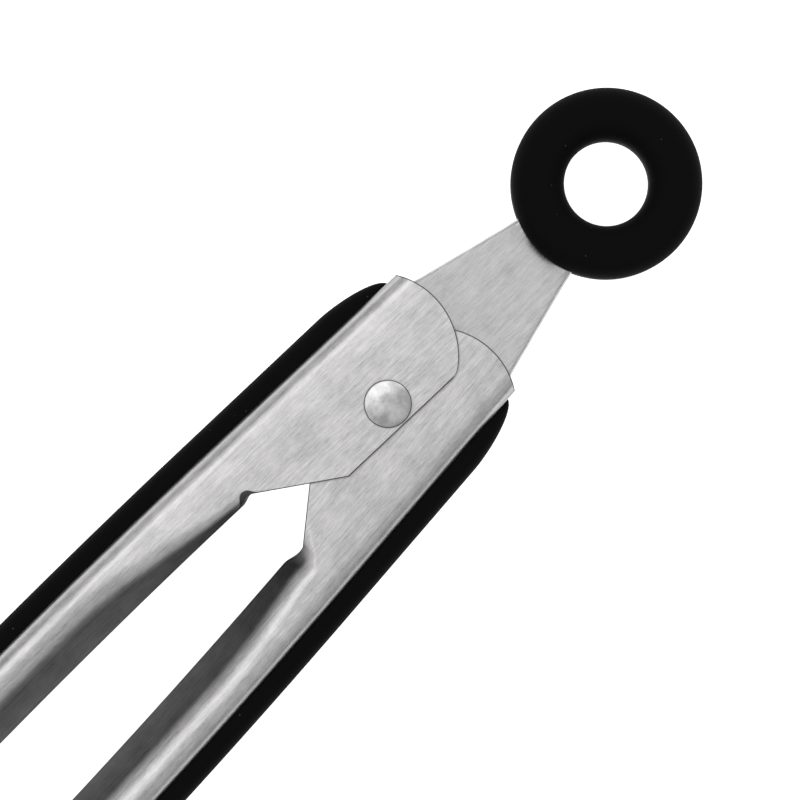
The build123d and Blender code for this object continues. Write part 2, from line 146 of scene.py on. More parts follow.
def bore(piece, outline):
    """Cuts an upright hole of the given closed outline right through a piece, then drops the cutter."""
    ends = [np.column_stack([outline, np.full(len(outline), z)]) for z in (-20.0, 20.0)]
    cutter = grid_piece("cutter", np.stack(ends), wrap=(False, True), caps=True)
    modify(piece, "BOOLEAN", operation="DIFFERENCE", solver="EXACT", object=cutter)
    bpy.data.objects.remove(cutter)
    piece.data.set_sharp_from_angle(angle=SHARP)


def circle(radius, points, centre=(0.0, 0.0)):
    """Points evenly round a circle."""
    turn = np.linspace(0, 2 * math.pi, points, endpoint=False)
    return np.column_stack([centre[0] + radius * np.cos(turn), centre[1] + radius * np.sin(turn)])


def half_section(half_width, depth, lean, grown, first_roll, band, columns):
    """Half a section of the channel, for each station: a flat back, a quarter bend, a flat side, then
    the roll and the straight lip. grown runs from 0, where only a narrow lip is folded over at the
    edge, to 1, the whole roll and lip. Returns z, depth below the back, length along the sheet, how
    far each point is folded over, and how far it is turned to the back, both from 0 to 1."""
    back, around, beyond = columns
    wide, depth, lean, grown = (part[:, None] for part in (half_width, depth, lean, grown))
    roll = first_roll + (ROLL - first_roll) * grown
    lip = np.minimum(0.35 + (LIP - 0.35) * grown, depth - BEND - roll * np.sin(lean))
    side = depth - BEND - lip - roll * np.sin(lean)
    rolled = roll * lean
    beyond_bend = side + rolled + lip / np.cos(lean)
    length = np.hstack([np.linspace(0, 1, beyond - 1)[None, :] * (beyond_bend - band[:, None]), beyond_bend])
    angle = np.clip((length - side) / roll, 0, lean)
    flat_part = np.minimum(length, side)
    lip_part = np.maximum(length - side - rolled, 0)
    flat = np.linspace(0, 1, back, endpoint=False)[None, :] * (wide - BEND)
    turn = np.linspace(0, math.pi / 2, around, endpoint=False)[None, :]
    z = np.hstack([
        flat,
        wide - BEND + BEND * np.sin(turn),
        wide - roll * (1 - np.cos(angle)) - lip_part * np.sin(lean),
    ])
    down = np.hstack([
        np.zeros_like(flat),
        BEND * (1 - np.cos(turn)) + 0 * wide,
        BEND + flat_part + roll * np.sin(angle) + lip_part * np.cos(lean),
    ])
    z = z - CROWN * (1 - smooth(down, 0.3 * BEND, 2.4 * BEND)) * (down > 0)
    along = np.hstack([flat, wide - BEND + BEND * turn, wide - BEND + BEND * math.pi / 2 + length])
    folded = np.hstack([0 * flat, 0 * turn * wide, angle / LEAN_IN])
    backed = np.hstack([1 + 0 * flat, 1 - turn * 2 / math.pi + 0 * wide, 0 * angle])
    return z, down, along, folded, backed


def both_sides(part, sign=1):
    """Half a section mirrored, so columns run from one edge over the back to the other."""
    return np.hstack([sign * part[:, :0:-1], part])


def arm(name, half_width, ear, fold, growth, first_roll, other_side):
    """One arm. Its stations run from tail to neck: x along the back, y across it. The tail's stations
    are drawn forward to an arc, the bow turns the rest on one large radius, and past the neck the
    section melts into an arch whose width, back and open edge follow the jaw's own curves. ear holds
    the tail's centre and radius, the corner, the slanted edge's end, the relief's crest and end, and
    how much wider the dark strip along the cut edge is made at the relief, as painted shade for the shadowed
    notch."""
    columns = (8, 9, 48)
    tail_x, tail_y, tail_radius, corner, (slant_x, slant_y), (crest_x, crest_y), settled_x, notch_shade = ear
    tail_rows = 22
    x = np.concatenate([
        np.full(tail_rows, TAIL_ZONE),
        np.linspace(TAIL_ZONE, -corner, 7, endpoint=False),
        np.linspace(-corner, -slant_x + 1.5, 14, endpoint=False),
        np.linspace(-slant_x + 1.5, -38, 44, endpoint=False),
        np.linspace(-38, -NECK, 84),
    ])
    edge = np.interp(-x, [corner, slant_x, crest_x], [-EAR_PAST, slant_y, crest_y])
    edge = edge + (BACK - DEPTH - crest_y) * smooth(-x, crest_x, settled_x)
    lean = LEAN_IN * smooth(-x, *fold)
    grown = smooth(-x, *growth)
    band = EDGE_BAND + notch_shade * np.exp(-(((x + crest_x) / 1.5) ** 4))
    sections = half_section(half_width + 0 * x, BACK - edge, lean, grown, first_roll, band, columns)
    z, down, along, folded, backed = sections
    turn = np.arcsin(np.clip(-x - STRAIGHT, 0, None) / BOW)[:, None]
    back_x = np.where(turn > 0, -STRAIGHT - BOW * np.sin(turn), x[:, None])
    along_x = back_x + down * np.sin(turn)
    across_y = BACK - BOW * (1 - np.cos(turn)) - down * np.cos(turn)
    tail_arc = tail_x + np.sqrt(tail_radius**2 - (across_y[:tail_rows] - tail_y) ** 2)
    short = np.clip(EAR_ROUND - EAR_PAST - across_y[:tail_rows], 0, EAR_ROUND)
    tail_arc = tail_arc - EAR_ROUND + np.sqrt(EAR_ROUND**2 - short**2)
    drawn = np.linspace(1, 0, tail_rows - 1, endpoint=False)[:, None]
    along_x[0] = tail_arc[0]
    along_x[1:tail_rows] = TAIL_ZONE + drawn * (tail_arc[1:] - EDGE_BAND - TAIL_ZONE)
    world_x = along_x * math.cos(SLOPE) + across_y * math.sin(SLOPE)
    world_y = across_y * math.cos(SLOPE) - along_x * math.sin(SLOPE)

    neck_x, neck_y = world_x[-1, 0], world_y[-1, 0]
    tilt = turn[-1, 0] - SLOPE
    share = np.sin(np.linspace(0, 1.45, 90))[1:] / math.sin(1.45)
    past = np.clip((share - 0.62) / 0.38, 0, 1)
    wide = half_width + (JAW_HALF_WIDTH - half_width) * smooth(share, 0, 0.62)
    wide = wide * np.sqrt(1 - 0.93 * past**2.6)
    low = JAW_EDGE + (neck_y - DEPTH - JAW_EDGE) * (1 - share) ** 1.5
    top = low + (neck_y - low) * np.sqrt(1 - 0.985 * share**5)
    melt = smooth(share, 0, 0.45)[:, None]
    angle = (along[-1] / along[-1, -1])[None, :] * math.pi / 2
    run = (share * (TIP + neck_x))[:, None]
    rim = np.sin(angle) ** 6
    flutes = (0.5 - 0.5 * np.cos(2 * math.pi * run / SCALLOP_PITCH)) * rim
    flutes = flutes * (smooth(share, 0.22, 0.4) * (1 - smooth(share, 0.86, 0.96)))[:, None]
    jaw_z = z[-1] * (1 - melt) + (wide[:, None] - 1.3 * flutes) * np.sin(angle) ** 0.9 * melt
    arch = (top - low)[:, None] * (1 - np.cos(angle) ** 1.25) - 1.2 * flutes
    fingers = 0.5 + 0.5 * np.cos(2 * math.pi * jaw_z / 7.5)
    arch = arch - 1.5 * fingers * rim * smooth(share, 0.9, 1.0)[:, None]
    jaw_down = down[-1] * (1 - melt) + np.maximum(arch, 0) * melt
    jaw_x = neck_x - run + jaw_down * math.sin(tilt) * (1 - melt)
    jaw_y = top[:, None] - jaw_down

    grid_x = both_sides(np.vstack([world_x, jaw_x]))
    grid_y = both_sides(np.vstack([world_y, jaw_y]))
    grid_z = both_sides(np.vstack([z, jaw_z]), -1)
    length = both_sides(np.vstack([along, along[-1] + 0 * jaw_z]), -1)
    grid = np.stack([grid_x, -grid_y if other_side else grid_y, grid_z], axis=-1)
    # folded and backed also fill a UV map that places painted shade on the lips and the back bend.
    folded = both_sides(np.vstack([folded, folded[-1] * (1 - melt)])) / MM
    backed = both_sides(np.vstack([backed, backed[-1] * (1 - melt)])) / MM
    maps = [("along", np.stack([-grid_x, length], axis=-1)), ("missed", np.stack([folded, backed], axis=-1))]
    pressing = grid_piece(name, grid, maps, flip=other_side)
    # The tail's first row and the outer strip along both open edges take the dark edge material, as painted
    # shade.
    band = np.zeros((grid.shape[0] - 1, grid.shape[1] - 1), np.int32)
    band[0], band[:, 0], band[:, -1] = 1, 1, 1
    pressing.data.materials.append(arm_steel)
    pressing.data.materials.append(painted_edge_shade)
    pressing.data.polygons.foreach_set("material_index", band.ravel())
    return pressing


def srgb(code):
    """A six-figure hex colour as linear light: c / 12.92 below 0.04045, else ((c + 0.055) / 1.055)
    to the power 2.4."""
    parts = [int(code[i:i + 2], 16) / 255 for i in (0, 2, 4)]
    linear = [c / 12.92 if c < 0.04045 else ((c + 0.055) / 1.055) ** 2.4 for c in parts]
    return (*linear, 1.0)


def add(tree, kind, inputs=None, **settings):
    """Adds one node: settings are its properties, inputs are socket values or the sockets linked to them."""
    node = tree.nodes.new(kind)
    for key, value in settings.items():
        setattr(node, key, value)
    for key, value in (inputs or {}).items():
        if isinstance(value, bpy.types.NodeSocket):
            tree.links.new(value, node.inputs[key])
        else:
            node.inputs[key].default_value = value
    return node


def material(name, **values):
    """A new material and its tree, with the Principled sockets that are the same all over it."""
    made = bpy.data.materials.new(name)
    made.use_nodes = True
    shader = made.node_tree.nodes["Principled BSDF"]
    for key, value in values.items():
        shader.inputs[key.replace("_", " ")].default_value = value
    return made, made.node_tree, shader.inputs


def linished(name, scratch, dark, light, smoothest, roughest, painted_shade=None):
    """Sheet steel rubbed along its length. Short fine scratches, wider bands and a cloudy haze mix into
    one tone that sets both colour and roughness, and the scratches spread highlights across themselves.
    scratch is their spacing in mm, drawn about twice as coarse as real ones so that they show. The last
    argument is a colour multiplied in where the sheet is folded over or turned to the back: painted shade
    that darkens the lips and the back bend."""
    made, tree, sockets = material(name, Metallic=1.0, Anisotropic=0.6, Anisotropic_Rotation=0.25)
    place = add(tree, "ShaderNodeUVMap", uv_map="along").outputs["UV"]
    fine = 1 / (scratch * MM)
    lay = add(tree, "ShaderNodeMapping", {"Vector": place, "Scale": (fine / 13, fine, 1)}).outputs[0]
    scratches = {"Vector": lay, "Scale": 1.0, "Detail": 3.0, "Roughness": 0.8}
    scratches = add(tree, "ShaderNodeTexNoise", scratches)
    lay = add(tree, "ShaderNodeMapping", {"Vector": place, "Scale": (fine / 60, fine / 2.6, 1)}).outputs[0]
    bands = add(tree, "ShaderNodeTexNoise", {"Vector": lay, "Scale": 1.0, "Detail": 3.0})
    haze = add(tree, "ShaderNodeTexNoise", {"Vector": place, "Scale": 170.0, "Detail": 6.0, "Roughness": 0.7})
    tone = {"Factor": 0.35, "A": scratches.outputs["Fac"], "B": bands.outputs["Fac"]}
    tone = add(tree, "ShaderNodeMix", tone).outputs[0]
    tone = add(tree, "ShaderNodeMix", {"Factor": 0.3, "A": tone, "B": haze.outputs["Fac"]}).outputs[0]
    colour = add(tree, "ShaderNodeValToRGB", {"Fac": tone})
    colour.color_ramp.elements[0].position, colour.color_ramp.elements[1].position = 0.36, 0.62
    colour.color_ramp.elements[0].color, colour.color_ramp.elements[1].color = srgb(dark), srgb(light)
    base = colour.outputs["Color"]
    # Painted shade: the lips and the part of the back bend next to the grip are darkened by a multiplied
    # colour.
    if painted_shade:
        share = add(tree, "ShaderNodeUVMap", uv_map="missed").outputs["UV"]
        share = add(tree, "ShaderNodeSeparateXYZ", {0: share}).outputs
        folded = add(tree, "ShaderNodeMapRange", {"Value": share["X"], "From Min": 0.62, "From Max": 1.0})
        backed = add(tree, "ShaderNodeMapRange", {"Value": share["Y"], "From Min": 0.45, "From Max": 0.75})
        share = add(tree, "ShaderNodeMath", {0: folded.outputs[0], 1: backed.outputs[0]}, operation="MAXIMUM")
        missed = {"Factor": share.outputs[0], 6: base}
        missed = add(tree, "ShaderNodeMix", missed, data_type="RGBA", blend_type="MULTIPLY")
        missed.inputs[7].default_value = srgb(painted_shade)
        base = missed.outputs[2]
    rough = {"Value": tone, "From Min": 0.36, "From Max": 0.62, "To Min": smoothest, "To Max": roughest}
    rough = add(tree, "ShaderNodeMapRange", rough)
    relief = {"Height": scratches.outputs["Fac"], "Strength": 0.3, "Distance": 0.00003}
    relief = add(tree, "ShaderNodeBump", relief)
    tangent = add(tree, "ShaderNodeTangent", direction_type="UV_MAP", uv_map="along")
    tree.links.new(base, sockets["Base Color"])
    tree.links.new(rough.outputs[0], sockets["Roughness"])
    tree.links.new(relief.outputs[0], sockets["Normal"])
    tree.links.new(tangent.outputs[0], sockets["Tangent"])
    return made


# Its last colour, B0B0B0, is multiplied in on the lips and the back bend as painted shade.
arm_steel = linished("linished stainless steel sheet", 0.2, "AFAEAF", "EAE8E8", 0.26, 0.36, "B0B0B0")
painted_edge_shade, tree, sockets = material("sheared stainless steel edge", Metallic=1.0, Roughness=0.5)
# The cut edges and thin strips along them are painted dark in an uneven, torn tone: painted shade for the
# shadow line under the edges and round the rivet's head. The edges are only lightly deburred.
place = add(tree, "ShaderNodeTexCoord").outputs["Object"]
torn = add(tree, "ShaderNodeTexNoise", {"Vector": place, "Scale": 1 / (0.4 * MM), "Detail": 3.0})
shade = add(tree, "ShaderNodeValToRGB", {"Fac": torn.outputs["Fac"]})
shade.color_ramp.elements[0].color, shade.color_ramp.elements[1].color = srgb("4A4848"), srgb("6A6868")
tree.links.new(shade.outputs["Color"], sockets["Base Color"])
# An ear's last value widens the painted shade strip along the cut edge at the relief.
outer_ear = (4.15, 7.65, 14.7, 13.7, (28.1, 4.8), (29.3, 5.1), 31.6, 1.0)
inner_ear = (4.75, 6.95, 14.35, 14.7, (28.8, 5.1), (30.4, 5.3), 34.0, 0.0)

for body, node, half_width, ear, fold, growth, first_roll, other in (
    ("outer_half", "outer_arm", OUTER_HALF_WIDTH, outer_ear, (25.0, 33.5), (28.0, 66.0), 1.6, False),
    ("inner_half", "inner_arm", INNER_HALF_WIDTH, inner_ear, (24.5, 33.5), (12.0, 58.0), 4.2, True),
):
    pressing = arm(f"{node}_pressing", half_width, ear, fold, growth, first_roll, other)
    thicken(pressing, SHEET)
    ease(pressing)
    bore(pressing, circle(SHANK_HOLE, 40))
    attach(pressing, body)
    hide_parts(node)

# ------------------------------------------------------------------ grips
# A soft cushion of black thermoplastic rubber lies on each arm's back. It is moulded with four pegs
# that push through the sheet and spread into flat heads inside the channel. Its skin is matte, with
# an even fine sparkle and the odd speck of dust.
GRIP_TAIL, GRIP_END = 14.4, 122.0
GRIP_HALF_WIDTH, GRIP_THICKNESS = 9.4, 3.7
GRIP_ROUND = 2.6
GRIP_TAIL_TAPER, GRIP_END_TAPER = 13.0, 26.0
PEG_PLACES = (-4.0, 38.0, 70.0, 102.0)
PEG_HEAD_RADIUS, PEG_HEAD = 4.0, 1.2


def along_back(distance, height):
    """Where a point at a distance behind the rivet and a height above the back lies: straight as far
    as the bow starts, then round the bow's centre."""
    turn = np.arcsin(np.clip(distance - STRAIGHT, 0, None) / BOW)
    x = np.where(distance > STRAIGHT, -STRAIGHT, -distance) - (BOW + height) * np.sin(turn)
    y = BACK + height - (BOW + height) * (1 - np.cos(turn))
    return x * math.cos(SLOPE) + y * math.sin(SLOPE), y * math.cos(SLOPE) - x * math.sin(SLOPE)


def cushion(name, other_side):
    """A loaf swept along the back. Its section is flat below, with rounded shoulders above; its height
    rises from each end as (1 - (1 - u)^1.6)^0.56, and its ends narrow in plan to half rounds."""
    rise = np.sin(np.linspace(0, math.pi / 2, 22)) ** 1.6
    distance = np.concatenate([
        -GRIP_TAIL + GRIP_TAIL_TAPER * rise,
        np.linspace(-GRIP_TAIL + GRIP_TAIL_TAPER, GRIP_END - GRIP_END_TAPER, 46)[1:-1],
        GRIP_END - GRIP_END_TAPER * rise[::-1],
    ])
    tail = np.clip((distance + GRIP_TAIL) / GRIP_TAIL_TAPER, 0.004, 1)
    end = np.clip((GRIP_END - distance) / GRIP_END_TAPER, 0.004, 1)
    height = GRIP_THICKNESS * ((1 - (1 - tail) ** 1.6) * (1 - (1 - end) ** 1.8)) ** 0.56
    wide = GRIP_HALF_WIDTH * (1 - (1 - np.clip(tail * 1.6, 0, 1)) ** 2 * 0.3)
    wide = wide * np.sqrt(1 - 0.9 * (1 - np.clip(end * 2.2, 0, 1)) ** 2)
    across = np.linspace(-1, 1, 41)
    across = np.sign(across) * (1 - (1 - np.abs(across)) ** 1.8)
    shoulder = np.minimum(GRIP_ROUND, 0.66 * height)[:, None]
    z = across[None, :] * wide[:, None]
    inset = np.clip(np.abs(z) - (wide[:, None] - shoulder), 0, None) / shoulder
    top = height[:, None] - shoulder * (1 - np.sqrt(np.clip(1 - inset**2, 0, None)))
    z = np.hstack([z, z[:, ::-1]])
    lift = np.hstack([np.maximum(top, 0.06), np.full_like(top, 0.0)])
    x, y = along_back(distance[:, None] + 0 * z, lift)
    y = -y if other_side else y
    return grid_piece(name, np.stack([x, y, z], axis=-1), flip=not other_side, wrap=(False, True), caps=True)


def turned(name, profile, turns, frame_at=None):
    """A solid of revolution: profile holds radius and height pairs from pole to pole. It stands on the
    rivet's axis, or frame_at maps its two plan coordinates and its height to a place. The poles are
    closed by the end rows' caps."""
    angle = np.linspace(0, 2 * math.pi, turns, endpoint=False)
    radius, height = np.array(profile).T
    first = radius[:, None] * np.cos(angle)
    second = radius[:, None] * np.sin(angle)
    places = (first, second, height[:, None] + 0 * first)
    if frame_at:
        places = frame_at(*places)
    return grid_piece(name, np.stack(places, axis=-1), wrap=(False, True), caps=True)


def arc(centre, radius, start, end, steps):
    """Profile points round part of a circle, from one angle in degrees to another."""
    turn = np.radians(np.linspace(start, end, steps))
    return [(centre[0] + radius * math.cos(t), centre[1] + radius * math.sin(t)) for t in turn]


def join(main, *others):
    """Puts several pieces into the first one's mesh."""
    with bpy.context.temp_override(active_object=main, selected_editable_objects=[main, *others]):
        bpy.ops.object.join()


def soft_rubber(name, sparkle):
    """Soft-touch rubber: nearly black, matte, with a fine eggshell grain from the tool, drawn twice as
    coarse as real so that it shows, and pale dust specks a tenth of a millimetre across."""
    made, tree, sockets = material(name, Specular_IOR_Level=0.07, Sheen_Weight=0.012, Sheen_Roughness=0.5)
    place = add(tree, "ShaderNodeTexCoord").outputs["Object"]
    grain = add(tree, "ShaderNodeTexNoise", {"Vector": place, "Scale": 1 / (0.35 * MM), "Detail": 4.0})
    patches = add(tree, "ShaderNodeTexNoise", {"Vector": place, "Scale": 1 / (6 * MM), "Detail": 3.0})
    dust = add(tree, "ShaderNodeTexVoronoi", {"Vector": place, "Scale": 1 / (2.6 * MM)})
    speck = {"Value": dust.outputs["Distance"], "From Min": 0.045, "From Max": 0.02, "To Max": sparkle}
    speck = add(tree, "ShaderNodeMapRange", speck)
    base = add(tree, "ShaderNodeMix", {"Factor": patches.outputs["Fac"]}, data_type="RGBA")
    base.inputs[6].default_value, base.inputs[7].default_value = srgb("060607"), srgb("0B0B0C")
    dusted = add(tree, "ShaderNodeMix", {"Factor": speck.outputs[0], 6: base.outputs[2]}, data_type="RGBA")
    dusted.inputs[7].default_value = srgb("8C8C8A")
    rough = {"Value": patches.outputs["Fac"], "To Min": 0.66, "To Max": 0.82}
    rough = add(tree, "ShaderNodeMapRange", rough)
    relief = {"Height": grain.outputs["Fac"], "Strength": 0.35, "Distance": 0.00005}
    relief = add(tree, "ShaderNodeBump", relief)
    tree.links.new(dusted.outputs[2], sockets["Base Color"])
    tree.links.new(rough.outputs[0], sockets["Roughness"])
    tree.links.new(relief.outputs[0], sockets["Normal"])
    return made


grip_rubber = soft_rubber("soft touch thermoplastic rubber", 0.5)

for body, node, other in (("outer_half", "outer_grip", False), ("inner_half", "inner_grip", True)):
    pad = cushion(f"{node}_cushion", other)
    heads = []
    for number, place_along in enumerate(PEG_PLACES):
        def inside(first, second, height):
            x, y = along_back(place_along + first, -SHEET - height)
            return x, -y if other else y, second if other else -second

        round_edge = arc((PEG_HEAD_RADIUS - 0.5, PEG_HEAD - 0.5), 0.5, 0, 90, 5)
        profile = [(0.02, PEG_HEAD + 0.15), (2.0, PEG_HEAD + 0.08)] + round_edge[::-1]
        profile += [(PEG_HEAD_RADIUS, 0.0), (0.02, 0.0)]
        heads.append(turned(f"peg_head_{number}", profile, 32, inside))
    join(pad, *heads)
    pad.data.set_sharp_from_angle(angle=math.radians(50))
    pad.data.materials.clear()
    pad.data.materials.append(grip_rubber)
    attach(pad, body)
    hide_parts(node)

# ------------------------------------------------------------------ lock tab
# A tapered strip of the same sheet is folded in half round the ring's core. Its two leaves spread to
# lie against the ears, slotted to slide on the spacer, and their long edges are turned down.
TAB_SHEET = 0.8
LOCK_LEAN = math.radians(1.1)
LEAF = 9.9
STEM_END, STEM_HALF = -5.6, 6.0
SHOULDER_FROM, SHOULDER_AT, SHOULDER_TO = 1.0, 10.0, 18.4
SHOULDER_HALF = 12.05
TAPER = 0.25
LEAF_BEND = 19.0
EDGE_BEND, EDGE_DEPTH = 0.9, 3.0
RING_CENTRE, RING_RADIUS, RING_HOLE = 55.1, 17.0, 7.55
RING_HALF = 5.5
NOSE_HEIGHT = 2.3
NOSE_END = 46.25
SLOT_HALF, SLOT_LENGTH = 3.0, 14.0


def leaned(x, y, z):
    """The lock's own frame, turned by its lean about the rivet."""
    cosine, sine = math.cos(LOCK_LEAN), math.sin(LOCK_LEAN)
    return x * cosine + y * sine, y * cosine - x * sine, z


def ramp(distance):
    """Zero before and the distance itself after, with a softened corner: (t + sqrt(t^2 + 0.6)) / 2."""
    return 0.5 * (distance + np.sqrt(distance * distance + 0.6))


def folded_strip():
    """The strip's outside face. Its path runs out along one leaf, round the nose on a half circle and
    back along the other; each leaf's height is two straight runs joined by softened corners. The
    section is flat with both edges turned inward on a quarter bend."""
    stops = (STEM_END, 1, 10, LEAF_BEND - 2, LEAF_BEND + 2, 36, NOSE_END - NOSE_HEIGHT)
    runs = zip(stops, stops[1:], (7, 9, 7, 8, 15, 21))
    x = np.concatenate([np.linspace(start, end, count, endpoint=False) for start, end, count in runs])
    x = np.append(x, stops[-1])
    edge = RING_CENTRE - RING_RADIUS
    fall = (LEAF - NOSE_HEIGHT) / (edge - LEAF_BEND)
    z = NOSE_HEIGHT + fall * (ramp(edge - x) - ramp(LEAF_BEND - x))
    tilt = np.arctan(np.gradient(z, x))
    turn = np.linspace(math.pi / 2, -math.pi / 2, 15)[1:-1]
    path_x = np.concatenate([x, NOSE_END - NOSE_HEIGHT + NOSE_HEIGHT * np.cos(turn), x[::-1]])
    path_z = np.concatenate([z, NOSE_HEIGHT * np.sin(turn), -z[::-1]])
    out_x = np.concatenate([-np.sin(tilt), np.cos(turn), -np.sin(tilt[::-1])])
    out_z = np.concatenate([np.cos(tilt), np.sin(turn), -np.cos(tilt[::-1])])
    wide = np.interp(path_x, [SHOULDER_FROM, SHOULDER_AT], [STEM_HALF, SHOULDER_HALF])
    wide = wide - TAPER * np.clip(path_x - SHOULDER_TO, 0, None)
    turned_down = EDGE_BEND + 0.05 + (EDGE_DEPTH - EDGE_BEND) * (1 - smooth(path_x, edge - 5, edge + 1))
    across = np.linspace(0, 1, 15, endpoint=False)[None, :] * (wide - EDGE_BEND)[:, None]
    quarter = np.linspace(0, math.pi / 2, 7)[None, :]
    straight = np.linspace(0, 1, 5)[None, 1:] * (turned_down - EDGE_BEND)[:, None]
    far = wide[:, None]
    side = np.hstack([across, far - EDGE_BEND * (1 - np.sin(quarter)), far + 0 * straight])
    down = np.hstack([0 * across, EDGE_BEND * (1 - np.cos(quarter)) + 0 * far, EDGE_BEND + straight])
    along = np.hstack([across, far + EDGE_BEND * (quarter - 1), far + EDGE_BEND * 0.57 + straight])
    side, along, down = both_sides(side, -1), both_sides(along, -1), both_sides(down)
    grid_x = path_x[:, None] - out_x[:, None] * down
    grid_z = path_z[:, None] - out_z[:, None] * down
    step = np.hypot(np.diff(path_x), np.diff(path_z))
    travelled = np.concatenate([[0], np.cumsum(step)])[:, None] + 0 * side
    grid = np.stack(leaned(grid_x, side, grid_z), axis=-1)
    return grid_piece("folded_strip", grid, [("along", np.stack([travelled, along], axis=-1))])


strip = folded_strip()
thicken(strip, TAB_SHEET)
ends = [circle(SLOT_HALF, 48, (0.0, 0.0)), circle(SLOT_HALF, 48, (SLOT_LENGTH, 0.0))]
slot_outline = np.vstack([ends[1][:13], ends[0][12:37], ends[1][36:]])
slot_x, slot_y, _ = leaned(slot_outline[:, 0], slot_outline[:, 1], 0)
tab_steel = linished("linished stainless steel strip", 0.24, "A5A4A5", "D2D1D1", 0.24, 0.34)
strip.data.materials.append(tab_steel)
strip.data.materials.append(painted_edge_shade)
ease(strip)
bore(strip, np.column_stack([slot_x, slot_y]))
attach(strip, "lock")
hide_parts("lock_tab")

# ------------------------------------------------------------------ hanging ring
# A black soft-touch ring is moulded over a stiff nylon core and over the strip's nose. It is both the
# pull for the lock and the hanging eye.
RING_INNER_ROUND, RING_OUTER_ROUND = 3.5, 3.1

upper = arc((RING_HOLE + RING_INNER_ROUND, RING_HALF - RING_INNER_ROUND), RING_INNER_ROUND, 180, 90, 14)
upper += arc((RING_RADIUS - RING_OUTER_ROUND, RING_HALF - RING_OUTER_ROUND), RING_OUTER_ROUND, 90, 0, 16)
lower = [(radius, -height) for radius, height in upper[::-1]]
ring_profile = np.array(upper + lower)
angle = np.linspace(0, 2 * math.pi, 144, endpoint=False)
ring_x, ring_y, ring_z = leaned(
    RING_CENTRE + ring_profile[None, :, 0] * np.cos(angle)[:, None],
    ring_profile[None, :, 0] * np.sin(angle)[:, None],
    ring_profile[None, :, 1] + 0 * angle[:, None],
)
eye = grid_piece("hanging_eye", np.stack([ring_x, ring_y, ring_z], axis=-1), flip=True, wrap=(True, True))
eye.data.materials.append(soft_rubber("soft touch ring rubber", 0.35))
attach(eye, "lock")
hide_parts("hang_ring")

nylon, tree, sockets = material("moulded black nylon", Roughness=0.45, Specular_IOR_Level=0.45)
# Glass-filled nylon straight from the tool: dark, half glossy, with a faint mottle of fibre.
place = add(tree, "ShaderNodeTexCoord").outputs["Object"]
mottle = add(tree, "ShaderNodeTexNoise", {"Vector": place, "Scale": 1 / (1.2 * MM), "Detail": 4.0})
mottled = add(tree, "ShaderNodeValToRGB", {"Fac": mottle.outputs["Fac"]})
mottled.color_ramp.elements[0].color, mottled.color_ramp.elements[1].color = srgb("2A2D30"), srgb("34383C")
tree.links.new(mottled.outputs["Color"], sockets["Base Color"])
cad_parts["ring_core"].data.materials.clear()
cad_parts["ring_core"].data.materials.append(nylon)

# ------------------------------------------------------------------ rivet, washer and sleeve
# A domed steel rivet passes through all four ears and the spacer, and its far end is formed over a
# washer. The head was tumbled bright, then dented very slightly as it was set.
HEAD_RADIUS, HEAD_HEIGHT, HEAD_RIM = 4.2, 1.2, 0.8
FORMED_RADIUS, FORMED_HEIGHT, FORMED_RIM = 3.5, 1.2, 0.3
SHANK = 2.1
SEAT, FAR_SEAT = 12.55, 13.2


def head_profile(radius, height, rim, seat):
    """Half a domed head from its pole to its seat: an arc over the top that meets a short rim."""
    rise = height - rim
    ball = (radius**2 + rise**2) / (2 * rise)
    reach = math.degrees(math.asin((radius - 0.14) / ball))
    crown = arc((0, seat + height - ball), ball, 90 - 0.3, 90 - reach, 16)
    corner_y = crown[-1][1]
    edge = [(radius - 0.05, corner_y - 0.07), (radius, corner_y - 0.2)]
    return crown + edge + [(radius, seat + 0.05), (radius - 0.08, seat)]


near = head_profile(HEAD_RADIUS, HEAD_HEIGHT, HEAD_RIM, SEAT)
far = head_profile(FORMED_RADIUS, FORMED_HEIGHT, FORMED_RIM, FAR_SEAT)
far = [(radius, -height) for radius, height in far]
rivet_profile = near + [(SHANK, SEAT), (SHANK, -FAR_SEAT)] + far[::-1]
rivet = turned("set_rivet", rivet_profile[::-1], 72)
rivet.data.set_sharp_from_angle(angle=math.radians(40))

bright, tree, sockets = material("tumbled stainless steel", Metallic=1.0)
# Tumbled: a soft mirror with shallow dimples about a millimetre apart that break up the highlight.
place = add(tree, "ShaderNodeTexCoord").outputs["Object"]
dimples = add(tree, "ShaderNodeTexNoise", {"Vector": place, "Scale": 1 / (2.2 * MM), "Detail": 2.0})
tint = add(tree, "ShaderNodeValToRGB", {"Fac": dimples.outputs["Fac"]})
tint.color_ramp.elements[0].position, tint.color_ramp.elements[1].position = 0.35, 0.65
tint.color_ramp.elements[0].color, tint.color_ramp.elements[1].color = srgb("B2B1B1"), srgb("DCDBDB")
worn = add(tree, "ShaderNodeMapRange", {"Value": dimples.outputs["Fac"], "To Min": 0.18, "To Max": 0.3})
relief = add(tree, "ShaderNodeBump", {"Height": dimples.outputs["Fac"], "Strength": 0.5, "Distance": 0.00012})
tree.links.new(tint.outputs["Color"], sockets["Base Color"])
tree.links.new(worn.outputs[0], sockets["Roughness"])
tree.links.new(relief.outputs[0], sockets["Normal"])
rivet.data.materials.append(bright)
rivet.data.materials.append(painted_edge_shade)
# The faces at the edge of the rivet's head take the dark edge material: a painted shadow line round the head.
middles = np.array([face.center for face in rivet.data.polygons]) - HINGE
rim = np.hypot(middles[:, 0], middles[:, 1]) > (HEAD_RADIUS - 0.13) * MM
rivet.data.polygons.foreach_set("material_index", rim.astype(np.int32))
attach(rivet, "pivot")
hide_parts("pivot_rivet")
for node in ("rivet_washer", "pivot_sleeve"):
    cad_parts[node].data.materials.clear()
    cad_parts[node].data.materials.append(bright)

# ------------------------------------------------------------------ spring
# A close-wound torsion spring of hard-drawn stainless wire sits on the spacer. Each half of the coil
# runs out into a straight leg that presses on one arm's back.
WIRE, COIL_RADIUS = 1.4, 4.6
COIL_TURNS, COIL_PITCH = 4, 1.6
LEG_REACH, LEG_PLAY = 26.0, 0.25


